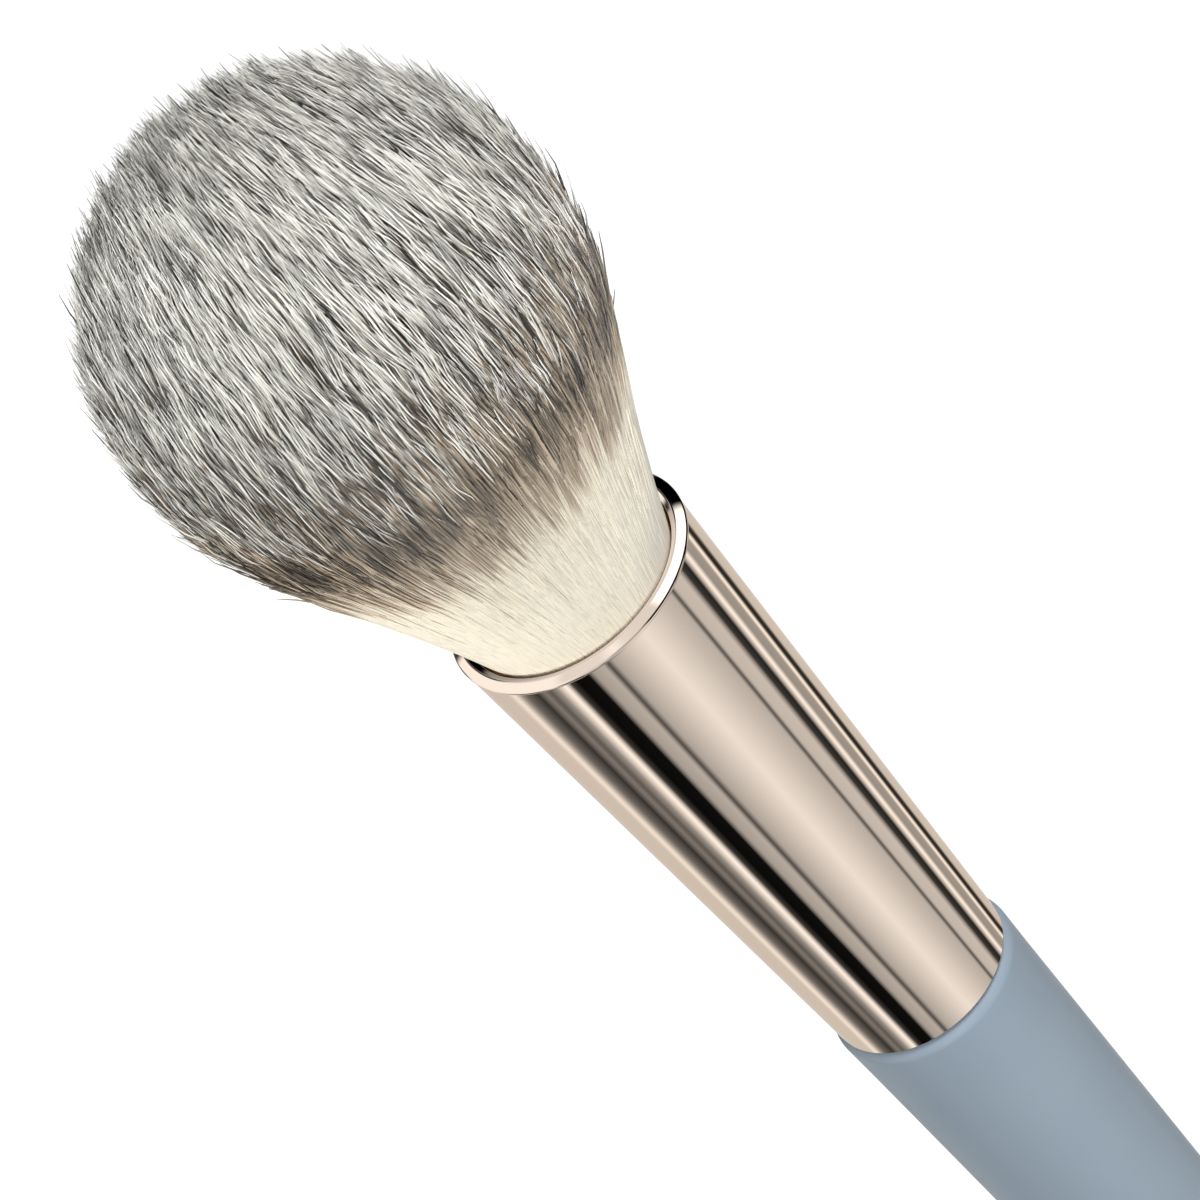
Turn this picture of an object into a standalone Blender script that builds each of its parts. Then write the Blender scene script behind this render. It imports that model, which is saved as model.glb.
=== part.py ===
"""A large powder brush, as it lies on a table.

The brush is a turned handle glued into a conical metal ferrule with a rolled lip, and a domed
knot of bristles whose roots are set in resin in the ferrule's mouth.

Every piece is modelled on the brush's own axis, which is local Z: zero at the ferrule's lip,
the bristles above it and the handle below, as on a lathe. One empty then lays the brush down,
head towards +X, so that its head and the end of its handle touch the table at z = 0. Local +X
is the side that faces the table. All sizes are in metres.
"""

import math
import random

import bmesh
import bpy
from mathutils import Matrix, Vector

# Ferrule, a seamless cone that widens towards the bristles
FERRULE_LENGTH = 0.0504
FERRULE_MOUTH_RADIUS = 0.0100
FERRULE_TAIL_RADIUS = 0.00757
FERRULE_WALL = 0.00042
TAIL_EDGE = 0.00015

# Lip, where the ferrule's edge is rolled inwards: a tight corner, a broad crown and a roll.
# The angles say where one arc takes over from the next: 0 points outwards, 90 to the tip.
LIP_CORNER_RADIUS = 0.00020
LIP_CROWN_RADIUS = 0.00115
LIP_ROLL_RADIUS = 0.00050
LIP_CORNER_ANGLE = 50
LIP_CROWN_ANGLE = 100
LIP_STEP = 0.00006

# Handle, turned with a slight taper towards its butt
HANDLE_LENGTH = 0.0960
HANDLE_SHOULDER_RADIUS = 0.00785
HANDLE_BUTT_RADIUS = 0.0052
SHOULDER_ROUND = 0.0013
BUTT_ROUND = 0.0031

# Tenon of the handle, hidden in the ferrule
SEAT_LENGTH = 0.0120
GLUE_ROOM = 0.0010
KEY_GROOVES = 2
KEY_WIDTH = 0.0022
KEY_DEPTH = 0.0009
TENON_CHAMFER = 0.0006

# Resin that sets the knot, and the bonded disc of bristle roots
RESIN_LENGTH = 0.0070
KNOT_SET_DEPTH = 0.0030
BACKING_LENGTH = 0.0110

# Bristle knot
KNOT_HEIGHT = 0.0502
KNOT_RADIUS = 0.0183
BELLY_HEIGHT = 0.0296
FLARE_SLOPE = 0.31
TUFTS = 6
RINGS = 10
FINE_RINGS = 5
TUFT_GAP = 0.0003
ROOT_SINK = 0.0006
TRIM_SPREAD = 0.0014
TRIM_SEED = 4
PRESS_DEPTH = 0.0005

# Share of the ring spacing that a bristle's radius takes along its length: inner rings have
# four stations and outer rings five, and the last is the point.
PLAIN_STATIONS = ((0.50, 0.37), (0.88, 0.40), (1.0, 0.0))
FINE_STATIONS = ((0.28, 0.34), (0.60, 0.38), (0.88, 0.40), (1.0, 0.0))
ROOT_FILL = 0.30

# Room between pieces that touch on the real brush
FIT_GAP = 0.0003

TURNED_STEPS = 56
HIDDEN_STEPS = 32
MERGE = 1e-6

# Stations along the axis that several pieces share
BACKING_TOP = -KNOT_SET_DEPTH
BACKING_BASE = BACKING_TOP - BACKING_LENGTH
RESIN_TOP = BACKING_BASE - FIT_GAP
RESIN_BASE = RESIN_TOP - RESIN_LENGTH
TENON_TOP = RESIN_BASE - FIT_GAP
SHOULDER = -FERRULE_LENGTH - FIT_GAP
SEAT_TOP = SHOULDER + SEAT_LENGTH
BUTT = SHOULDER - HANDLE_LENGTH


def cone_radius(station):
    """Outer radius of the ferrule's cone at a station, which is below zero inside it."""
    top = FERRULE_MOUTH_RADIUS - LIP_STEP
    return top + (top - FERRULE_TAIL_RADIUS) * station / FERRULE_LENGTH


def bore_radius(station):
    """Inner radius of the ferrule at a station."""
    return cone_radius(station) - FERRULE_WALL


def lip_centres():
    """Radius and station of the middle of the lip's corner, crown and roll, its top at zero."""
    corner_turn = math.radians(LIP_CORNER_ANGLE)
    crown_turn = math.radians(LIP_CROWN_ANGLE)
    corner_inset = LIP_CROWN_RADIUS - LIP_CORNER_RADIUS
    roll_inset = LIP_CROWN_RADIUS - LIP_ROLL_RADIUS
    corner = FERRULE_MOUTH_RADIUS - LIP_CORNER_RADIUS
    crown = corner - corner_inset * math.cos(corner_turn)
    return (
        (corner, corner_inset * math.sin(corner_turn) - LIP_CROWN_RADIUS),
        (crown, -LIP_CROWN_RADIUS),
        (crown + roll_inset * math.cos(crown_turn), roll_inset * math.sin(crown_turn) - LIP_CROWN_RADIUS),
    )


def opening_radius():
    """Radius of the mouth inside the rolled lip, through which the bristles come out."""
    return lip_centres()[2][0] - LIP_ROLL_RADIUS


def handle_radius(station):
    """Radius of the handle's straight taper at a station below the shoulder."""
    share = (SHOULDER - station) / HANDLE_LENGTH
    return HANDLE_SHOULDER_RADIUS + (HANDLE_BUTT_RADIUS - HANDLE_SHOULDER_RADIUS) * share


def knot_radius(height):
    """Outer radius of the bristles at a height: a cone in the mouth, flared, then full."""
    mouth = opening_radius() - FIT_GAP
    if height < 0:
        return mouth + FLARE_SLOPE * height
    share = min(height / BELLY_HEIGHT, 1.0)
    rise = FLARE_SLOPE * BELLY_HEIGHT * share * (1 - share) ** 2
    blend = share * share * (3 - 2 * share)
    return mouth + rise + (KNOT_RADIUS - mouth) * blend


def ring_spacing(height):
    """Distance from one ring of bristles to the next at a height."""
    return knot_radius(height) / (RINGS + ROOT_FILL)


def dome_height(radius):
    """Height of the domed top over a radius, an ellipse above the belly."""
    share = min(radius / KNOT_RADIUS, 1.0)
    return BELLY_HEIGHT + (KNOT_HEIGHT - BELLY_HEIGHT) * math.sqrt(1 - share * share)


def lying_matrix():
    """Lays the axis down so that the pressed head and the round of the butt touch z = 0."""
    head_radius = KNOT_RADIUS - PRESS_DEPTH
    round_radius = handle_radius(BUTT) - BUTT_ROUND
    round_station = BUTT + BUTT_ROUND
    across = head_radius - round_radius
    along = BELLY_HEIGHT - round_station
    tilt = math.acos(BUTT_ROUND / math.hypot(across, along)) - math.atan2(along, across)
    lift = head_radius * math.cos(tilt) - BELLY_HEIGHT * math.sin(tilt)
    turn = Matrix.Rotation(math.pi / 2 - tilt, 4, "Y")
    return Matrix.Translation((0, 0, lift)) @ turn


LYING = lying_matrix()


def clear_scene():
    for thing in list(bpy.data.objects):
        bpy.data.objects.remove(thing, do_unlink=True)


def new_collection(name):
    collection = bpy.data.collections.new(name)
    bpy.context.scene.collection.children.link(collection)
    return collection


def new_material(name, colour, roughness, metallic=0.0):
    material = bpy.data.materials.new(name)
    material.use_nodes = True
    shader = material.node_tree.nodes["Principled BSDF"]
    shader.inputs["Base Color"].default_value = (*colour, 1.0)
    shader.inputs["Roughness"].default_value = roughness
    shader.inputs["Metallic"].default_value = metallic
    material.diffuse_color = (*colour, 1.0)
    return material


def arc(centre, radius, start, end, steps):
    """Points of an arc in the profile plane: 0 degrees points outwards, 90 to the tip."""
    points = []
    for step in range(steps + 1):
        angle = math.radians(start + (end - start) * step / steps)
        points.append((centre[0] + radius * math.cos(angle), centre[1] + radius * math.sin(angle)))
    return points


def turned(name, profile, material, steps, closed=False):
    """Turns a profile of (radius, station) points, listed down the outer side, about the axis."""
    mesh = bpy.data.meshes.new(name)
    count = len(profile)
    edges = [(i, i + 1) for i in range(count - 1)]
    if closed:
        edges.append((count - 1, 0))
    mesh.from_pydata([(radius, 0, station) for radius, station in profile], edges, [])
    mesh.materials.append(material)
    piece = bpy.data.objects.new(name, mesh)
    screw = piece.modifiers.new("turning", "SCREW")
    screw.steps = steps
    screw.render_steps = steps
    screw.use_merge_vertices = True
    screw.merge_threshold = MERGE
    screw.use_smooth_shade = True
    return piece


def build_ferrule(material):
    """Cone of thin metal whose mouth is rolled inwards into a lip."""
    corner, crown, roll = lip_centres()
    bore = bore_radius(roll[1] - LIP_ROLL_RADIUS)
    cone = cone_radius(corner[1])
    curl_end = 360 - math.degrees(math.acos((bore - roll[0]) / LIP_ROLL_RADIUS))
    curl_start = -math.degrees(math.acos((cone - corner[0]) / LIP_CORNER_RADIUS))
    profile = arc(roll, LIP_ROLL_RADIUS, curl_end, LIP_CROWN_ANGLE, 9)
    profile += arc(crown, LIP_CROWN_RADIUS, LIP_CROWN_ANGLE, LIP_CORNER_ANGLE, 3)[1:]
    profile += arc(corner, LIP_CORNER_RADIUS, LIP_CORNER_ANGLE, curl_start, 3)[1:]
    profile += [
        (cone_radius(TAIL_EDGE - FERRULE_LENGTH), TAIL_EDGE - FERRULE_LENGTH),
        (FERRULE_TAIL_RADIUS - TAIL_EDGE, -FERRULE_LENGTH),
        (bore_radius(-FERRULE_LENGTH), -FERRULE_LENGTH),
    ]
    return turned("ferrule", profile, material, TURNED_STEPS, closed=True)


def key_stations():
    """Middle of each key groove, spread evenly along the tenon's glued waist."""
    waist = TENON_TOP - SEAT_TOP
    return [TENON_TOP - waist * (i + 0.5) / KEY_GROOVES for i in range(KEY_GROOVES)]


def seat_radius():
    """Radius of the tenon's seat, which fits the narrow end of the bore."""
    return bore_radius(-FERRULE_LENGTH) - FIT_GAP


def build_handle(material):
    """Handle with a stepped tenon: a seat in the bore, and a grooved waist for the glue."""
    seat = seat_radius()
    waist = seat - GLUE_ROOM
    profile = [(0, TENON_TOP), (waist - TENON_CHAMFER, TENON_TOP), (waist, TENON_TOP - TENON_CHAMFER)]
    for middle in key_stations():
        top = middle + KEY_WIDTH / 2
        base = middle - KEY_WIDTH / 2
        profile += [(waist, top), (waist - KEY_DEPTH, top), (waist - KEY_DEPTH, base), (waist, base)]
    profile += [(waist, SEAT_TOP), (seat, SEAT_TOP), (seat, SHOULDER)]
    shoulder_centre = (handle_radius(SHOULDER) - SHOULDER_ROUND, SHOULDER - SHOULDER_ROUND)
    profile += arc(shoulder_centre, SHOULDER_ROUND, 75, 0, 4)
    butt_centre = (handle_radius(BUTT) - BUTT_ROUND, BUTT + BUTT_ROUND)
    profile += arc(butt_centre, BUTT_ROUND, 0, -90, 7)
    profile.append((0, BUTT))
    return turned("handle", profile, material, TURNED_STEPS)


def build_glue(material):
    """Collar of hardened glue between the tenon's waist and the bore, keyed into the grooves."""
    inner = seat_radius() - GLUE_ROOM + FIT_GAP
    key = inner - KEY_DEPTH
    top = TENON_TOP - TENON_CHAMFER
    base = SEAT_TOP + FIT_GAP
    profile = [(bore_radius(top) - FIT_GAP, top), (bore_radius(base) - FIT_GAP, base), (inner, base)]
    for middle in reversed(key_stations()):
        low = middle - KEY_WIDTH / 2 + FIT_GAP
        high = middle + KEY_WIDTH / 2 - FIT_GAP
        profile += [(inner, low), (key, low), (key, high), (inner, high)]
    profile.append((inner, top))
    return turned("handle_glue", profile, material, HIDDEN_STEPS, closed=True)


def build_resin(material):
    """Plug of resin under the knot, poured into the ferrule's cone."""
    profile = [
        (0, RESIN_TOP),
        (bore_radius(RESIN_TOP) - FIT_GAP, RESIN_TOP),
        (bore_radius(RESIN_BASE) - FIT_GAP, RESIN_BASE),
        (0, RESIN_BASE),
    ]
    return turned("knot_resin", profile, material, HIDDEN_STEPS)


def bristle_section(collection):
    """Three-sided section that the bristle curves sweep, one unit in radius."""
    curve = bpy.data.curves.new("bristle_section", "CURVE")
    curve.dimensions = "2D"
    spline = curve.splines.new("POLY")
    spline.points.add(2)
    for i, point in enumerate(spline.points):
        angle = math.radians(90 + 120 * i)
        point.co = (math.cos(angle), math.sin(angle), 0, 1)
    spline.use_cyclic_u = True
    section = bpy.data.objects.new("bristle_section", curve)
    section.hide_render = True
    section.display_type = "WIRE"
    collection.objects.link(section)
    return section


def pressed(point, clearance):
    """Moves a local point up where it would come nearer to the table than its clearance."""
    place = LYING @ point
    place.z = max(place.z, clearance)
    return LYING.inverted() @ place


def bristle_path(ring, angle, trim):
    """Centres and radii of one bristle, from its root in the backing to its point."""
    root = BACKING_TOP - ROOT_SINK
    tip = dome_height(ring * ring_spacing(BELLY_HEIGHT)) - trim
    stations = FINE_STATIONS if ring > RINGS - FINE_RINGS else PLAIN_STATIONS
    places = [(root, ROOT_FILL)] + [(tip * share, fill) for share, fill in stations]
    path = []
    for height, fill in places:
        spacing = ring_spacing(height)
        centre = Vector((ring * spacing * math.cos(angle), ring * spacing * math.sin(angle), height))
        radius = fill * spacing
        path.append((pressed(centre, radius), radius))
    return path


def tuft_strands(name, facing, section, chance):
    """Closed mesh of all the bristles in one slice of the knot, facing a direction."""
    curve = bpy.data.curves.new(name, "CURVE")
    curve.dimensions = "3D"
    curve.bevel_mode = "OBJECT"
    curve.bevel_object = section
    curve.use_fill_caps = True
    slice_angle = 2 * math.pi / TUFTS
    for ring in range(1, RINGS + 1):
        for place in range(ring):
            angle = facing + ((place + 0.5) / ring - 0.5) * slice_angle
            path = bristle_path(ring, angle, chance.uniform(0, TRIM_SPREAD))
            spline = curve.splines.new("POLY")
            spline.points.add(len(path) - 1)
            for point, (centre, radius) in zip(spline.points, path):
                point.co = (*centre, 1)
                point.radius = radius
    swept = bpy.data.objects.new(name, curve)
    bpy.context.scene.collection.objects.link(swept)
    depsgraph = bpy.context.evaluated_depsgraph_get()
    mesh = bpy.data.meshes.new_from_object(swept.evaluated_get(depsgraph))
    bpy.data.objects.remove(swept, do_unlink=True)
    bpy.data.curves.remove(curve)
    weld(mesh)
    for vertex in mesh.vertices:
        vertex.co = pressed(vertex.co, 0.0)
    return mesh


def weld(mesh):
    """Joins the loose caps and pointed ends of a mesh to its sides."""
    work = bmesh.new()
    work.from_mesh(mesh)
    bmesh.ops.remove_doubles(work, verts=work.verts, dist=MERGE)
    bmesh.ops.dissolve_degenerate(work, dist=MERGE, edges=work.edges)
    bmesh.ops.recalc_face_normals(work, faces=work.faces)
    work.to_mesh(mesh)
    work.free()


def backing_slice(name, facing):
    """One slice of the bonded disc of roots, which follows the ferrule's cone."""
    work = bmesh.new()
    bmesh.ops.create_cone(
        work,
        cap_ends=True,
        segments=TURNED_STEPS,
        radius1=bore_radius(BACKING_BASE) - FIT_GAP,
        radius2=bore_radius(BACKING_TOP) - FIT_GAP,
        depth=BACKING_LENGTH,
        matrix=Matrix.Translation((0, 0, (BACKING_TOP + BACKING_BASE) / 2)),
    )
    for side in (-1, 1):
        across = facing + side * (math.pi / TUFTS + math.pi / 2)
        outward = Vector((math.cos(across), math.sin(across), 0))
        cut = bmesh.ops.bisect_plane(
            work,
            geom=work.verts[:] + work.edges[:] + work.faces[:],
            plane_co=outward * (-TUFT_GAP / 2),
            plane_no=outward,
            clear_outer=True,
        )
        rim = [item for item in cut["geom_cut"] if isinstance(item, bmesh.types.BMEdge)]
        bmesh.ops.edgenet_fill(work, edges=rim)
    bmesh.ops.recalc_face_normals(work, faces=work.faces)
    mesh = bpy.data.meshes.new(name)
    work.to_mesh(mesh)
    work.free()
    return mesh


def build_tuft(index, material, section, guides, chance):
    """One slice of the knot: its bristles fused to their slice of the backing."""
    name = f"bristle_tuft_{index + 1}"
    facing = 2 * math.pi * index / TUFTS
    strands = bpy.data.objects.new(f"{name}_strands", tuft_strands(name, facing, section, chance))
    strands.hide_render = True
    strands.display_type = "WIRE"
    guides.objects.link(strands)
    mesh = backing_slice(name, facing)
    mesh.materials.append(material)
    strands.data.materials.append(material)
    tuft = bpy.data.objects.new(name, mesh)
    union = tuft.modifiers.new("bristles", "BOOLEAN")
    union.operation = "UNION"
    union.solver = "EXACT"
    union.object = strands
    return tuft, strands


def centre_over_floor(frame, pieces):
    """Moves the empty so that the brush's box is centred on the origin in x and y."""
    depsgraph = bpy.context.evaluated_depsgraph_get()
    corners = []
    for piece in pieces:
        shape = piece.evaluated_get(depsgraph)
        corners += [shape.matrix_world @ vertex.co for vertex in shape.data.vertices]
    for axis in (0, 1):
        places = [corner[axis] for corner in corners]
        frame.location[axis] -= (min(places) + max(places)) / 2
    bpy.context.view_layer.update()


def main():
    clear_scene()
    brush = new_collection("powder_brush")
    guides = new_collection("guides")
    lacquer = new_material("blue_grey_lacquer", (0.29, 0.35, 0.42), 0.28)
    metal = new_material("champagne_aluminium", (0.85, 0.72, 0.61), 0.12, metallic=1.0)
    fibre = new_material("bristle_fibre", (0.42, 0.39, 0.34), 0.6)
    resin = new_material("setting_resin", (0.62, 0.52, 0.33), 0.3)
    glue = new_material("handle_glue", (0.78, 0.74, 0.62), 0.4)

    frame = bpy.data.objects.new("brush_axis", None)
    frame.matrix_world = LYING
    brush.objects.link(frame)

    section = bristle_section(guides)
    chance = random.Random(TRIM_SEED)
    pieces = [build_handle(lacquer), build_glue(glue), build_ferrule(metal), build_resin(resin)]
    strands = []
    for index in range(TUFTS):
        tuft, loose = build_tuft(index, fibre, section, guides, chance)
        pieces.append(tuft)
        strands.append(loose)

    for piece in pieces:
        brush.objects.link(piece)
    for piece in pieces + strands:
        piece.parent = frame
    bpy.context.view_layer.update()
    centre_over_floor(frame, pieces)
    butt = frame.matrix_world @ Vector((0, 0, BUTT))
    away = frame.matrix_world.to_3x3() @ Vector((0, 0, -1))
    print("butt face centre", [round(value, 6) for value in butt])
    print("butt face normal", [round(value, 6) for value in away])


main()
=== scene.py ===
"""The looks of a powder brush that lies on a pale floor.

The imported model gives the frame. The ferrule and the handle are turned again here as smooth
surfaces, the bristles are grown by Geometry Nodes, and the hidden resin and glue keep their
solids. Sizes are in metres unless a name says otherwise.
"""

import logging
import math
from dataclasses import dataclass, field, fields
from enum import Enum
from functools import partial
from typing import Any, Callable, Iterable, Sequence

import bmesh
import bpy
from mathutils import Matrix, Vector


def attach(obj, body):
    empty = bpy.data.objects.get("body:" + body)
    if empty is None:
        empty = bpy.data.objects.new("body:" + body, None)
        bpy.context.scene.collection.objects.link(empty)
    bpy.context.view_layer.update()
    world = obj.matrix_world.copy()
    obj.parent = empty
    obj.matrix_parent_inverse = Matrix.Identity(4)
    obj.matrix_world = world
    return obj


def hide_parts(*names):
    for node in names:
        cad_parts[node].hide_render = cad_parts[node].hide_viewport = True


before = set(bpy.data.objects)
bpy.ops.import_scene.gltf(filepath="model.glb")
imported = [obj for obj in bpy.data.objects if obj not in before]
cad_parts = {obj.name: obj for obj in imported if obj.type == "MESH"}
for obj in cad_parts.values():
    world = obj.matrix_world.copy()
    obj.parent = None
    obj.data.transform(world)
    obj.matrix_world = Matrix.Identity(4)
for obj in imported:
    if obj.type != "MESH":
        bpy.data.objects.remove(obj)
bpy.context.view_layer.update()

LOG = logging.getLogger("brush")
BODY = "root"
STRAND_MAP = "strand"
BAKE_MAP = "OFBake"

MATH = "ShaderNodeMath"
WHOLE_MATH = "FunctionNodeIntegerMath"
VECTOR_MATH = "ShaderNodeVectorMath"
MAP_RANGE = "ShaderNodeMapRange"
MIX = "ShaderNodeMix"
RAMP = "ShaderNodeValToRGB"
NOISE = "ShaderNodeTexNoise"
WHITE_NOISE = "ShaderNodeTexWhiteNoise"
COMBINE = "ShaderNodeCombineXYZ"
SEPARATE = "ShaderNodeSeparateXYZ"
STORE = "GeometryNodeStoreNamedAttribute"

Socket = bpy.types.NodeSocket
Adder = Callable[..., Socket]
Profile = list[tuple[float, float]]


def linear(colour: str) -> tuple[float, float, float, float]:
    """Turn an sRGB hex colour into Blender's linear RGBA.

    Args:
        colour: Six hex digits.

    Returns:
        Linear red, green and blue, and an alpha of 1.
    """
    parts = [int(colour[i:i + 2], 16) / 255 for i in (0, 2, 4)]
    red, green, blue = (p / 12.92 if p <= 0.04045 else ((p + 0.055) / 1.055) ** 2.4 for p in parts)
    return red, green, blue, 1.0


def feed(socket: Socket, value: Any) -> None:
    """Feed one input of a node.

    Args:
        socket: The input.
        value: A socket to link, a constant to set, or None to leave the input alone.
    """
    if isinstance(value, Socket):
        socket.id_data.links.new(value, socket)
    elif value is not None:
        socket.default_value = value


def feed_named(node: bpy.types.Node, values: dict[str, Any]) -> None:
    """Feed inputs of a node by name.

    Args:
        node: The node.
        values: What feeds each input: a socket or a constant.
    """
    for name, value in values.items():
        feed(node.inputs[name], value)


def add_node(
    tree: bpy.types.NodeTree,
    kind: str,
    *values: Any,
    sockets: dict[str, Any] | None = None,
    out: int | str = 0,
    **settings: Any,
) -> Socket:
    """Add a node, give it its settings and feed its inputs.

    Args:
        tree: Tree that takes the node.
        kind: Blender's name for the node type.
        values: What feeds the enabled inputs in their order: a socket, a constant or None.
        sockets: What feeds inputs by name.
        out: Name of the output to return, or its place among the enabled ones.
        settings: Properties of the node, set before anything is linked.

    Returns:
        The chosen output, or the first input of a node that has no output.
    """
    node = tree.nodes.new(kind)
    for name, value in settings.items():
        setattr(node, name, value)
    enabled = [socket for socket in node.inputs if socket.enabled]
    for socket, value in zip(enabled, values):
        feed(socket, value)
    feed_named(node, sockets or {})
    outputs = [socket for socket in node.outputs if socket.enabled]
    if not outputs:
        return enabled[0]
    return node.outputs[out] if isinstance(out, str) else outputs[out]


def fill_ramp(socket: Socket, stops: Iterable[tuple[float, Any]]) -> None:
    """Set the stops of the colour ramp that a socket belongs to.

    Args:
        socket: Output of a Color Ramp node.
        stops: Places from 0 to 1, each with a hex colour or a grey level.
    """
    elements = socket.node.color_ramp.elements
    for number, (place, value) in enumerate(stops):
        if number < 2:
            element = elements[number]
            element.position = place
        else:
            element = elements.new(place)
        element.color = linear(value) if isinstance(value, str) else (value, value, value, 1.0)


def fill_curve(socket: Socket, points: Sequence[tuple[float, float]]) -> None:
    """Set the points of the float curve that a socket belongs to.

    Args:
        socket: Output of a Float Curve node.
        points: Pairs from 0 to 1, the first and last at the ends of the range.
    """
    mapping = socket.node.mapping
    curve = mapping.curves[0]
    curve.points[0].location = points[0]
    curve.points[-1].location = points[-1]
    for point in points[1:-1]:
        curve.points.new(*point)
    mapping.update()


def new_material(name: str) -> tuple[bpy.types.Material, Adder, bpy.types.Node]:
    """Make a material that holds one Principled shader.

    Args:
        name: Name of the finish.

    Returns:
        The material, a function that adds nodes to it, and its Principled node.
    """
    material = bpy.data.materials.new(name)
    material.use_nodes = True
    tree = material.node_tree
    return material, partial(add_node, tree), tree.nodes["Principled BSDF"]


def new_object(name: str, data: bpy.types.ID) -> bpy.types.Object:
    """Make an object and put it in the scene.

    Args:
        name: Name of the object.
        data: Its mesh, lamp or camera.

    Returns:
        The object, at the origin.
    """
    made = bpy.data.objects.new(name, data)
    bpy.context.scene.collection.objects.link(made)
    return made


@dataclass(frozen=True)
class BrushAxis:
    """The brush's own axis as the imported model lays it: from the handle's butt to the mouth."""

    butt: Vector = Vector((-0.098005, 0.0, 0.00497))
    along: Vector = Vector((0.997368, 0.0, 0.072509))
    length_to_butt: float = 0.1467

    @property
    def mouth(self) -> Vector:
        """Middle of the ferrule's mouth."""
        return self.butt + self.along * self.length_to_butt

    @property
    def up(self) -> Vector:
        """Direction across the axis that points away from the floor."""
        return Vector((-self.along.z, 0.0, self.along.x))

    @property
    def right(self) -> Vector:
        """Direction across the axis to the right, seen from above with the head away."""
        return self.along.cross(self.up)

    def matrix(self) -> Matrix:
        """Place of the turned profiles: Z along the axis, X towards the floor."""
        turn = Matrix((-self.up, -self.right, self.along)).transposed().to_4x4()
        return Matrix.Translation(self.mouth) @ turn


AXIS = BrushAxis()


def turned_piece(name: str, profile: Profile, steps: int, closed: bool) -> bpy.types.Object:
    """Turn a profile about the brush's axis, as on a lathe.

    Args:
        name: Name of the piece.
        profile: Radius and station of each point, listed down the outer side.
        steps: Faces round the axis.
        closed: True for a ring, whose last point joins the first. Otherwise the profile
            starts and ends on the axis.

    Returns:
        The piece, smooth shaded, with its place in its mesh.
    """
    mesh = bpy.data.meshes.new(name)
    build = bmesh.new()
    angles = [math.tau * step / steps for step in range(steps)]
    rings = []
    for radius, station in profile:
        if radius == 0:
            rings.append([build.verts.new((0, 0, station))] * steps)
            continue
        spots = [(radius * math.cos(a), radius * math.sin(a), station) for a in angles]
        rings.append([build.verts.new(spot) for spot in spots])
    pairs = list(zip(rings, rings[1:]))
    if closed:
        pairs.append((rings[-1], rings[0]))
    for upper, lower in pairs:
        for step in range(steps):
            following = (step + 1) % steps
            corners = (upper[step], lower[step], lower[following], upper[following])
            build.faces.new(list(dict.fromkeys(corners)))
    bmesh.ops.recalc_face_normals(build, faces=build.faces)
    build.transform(AXIS.matrix())
    build.to_mesh(mesh)
    build.free()
    mesh.shade_smooth()
    mesh.set_sharp_from_angle(angle=math.radians(20))
    return new_object(name, mesh)


def arc(centre: tuple[float, float], radius: float, start: float, end: float, steps: int) -> Profile:
    """List the points of an arc in the profile plane.

    Args:
        centre: Radius and station of the arc's centre.
        radius: Radius of the arc.
        start: First angle in degrees: 0 points outwards and 90 to the tip.
        end: Last angle in degrees.
        steps: Chords of the arc.

    Returns:
        Radius and station of each point.
    """
    angles = [math.radians(start + (end - start) * step / steps) for step in range(steps + 1)]
    return [(centre[0] + radius * math.cos(a), centre[1] + radius * math.sin(a)) for a in angles]


def report(piece: bpy.types.Object, nodes: Iterable[str]) -> None:
    """Hang a finished piece on the frame and log its size.

    Args:
        piece: The finished piece.
        nodes: Solids that it stands for.
    """
    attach(piece, BODY)
    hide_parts(*nodes)
    triangles = sum(len(face.vertices) - 2 for face in piece.data.polygons)
    LOG.info("%s: %d triangles", piece.name, triangles)


@dataclass(frozen=True)
class PolishedAluminium:
    """Aluminium, drawn, polished and anodised a pale champagne.

    The polish gives mirror stripes along the cone, and the wheel's faint lines soften them.
    The lines are drawn coarser than real ones, as coarse as they need to show.
    """

    tint: str = "eedecf"
    edge_tint: str = "f6ece0"
    roughness: float = 0.03
    line_mm: float = 0.347
    line_length: float = 60.0

    def material(self) -> bpy.types.Material:
        """Build the metal with its polishing lines, which run round the cone."""
        material, add, shader = new_material("champagne_aluminium_polished")
        place = add("ShaderNodeTexCoord", out="Object")
        turn = tuple(AXIS.matrix().to_euler())
        squeeze = (1, 1, 1 / self.line_length)
        local = add("ShaderNodeMapping", place, None, turn, squeeze, vector_type="TEXTURE")
        scale = 1000 / (self.line_mm * self.line_length)
        lines = add(NOISE, local, sockets={"Scale": scale, "Detail": 2.0})
        low, high = self.roughness * 0.8, self.roughness * 1.25
        rough = add(MAP_RANGE, lines, 0.3, 0.7, low, high)
        values = {
            "Base Color": linear(self.tint),
            "Specular Tint": linear(self.edge_tint),
            "Metallic": 1.0,
            "Roughness": rough,
        }
        feed_named(shader, values)
        return material


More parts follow.
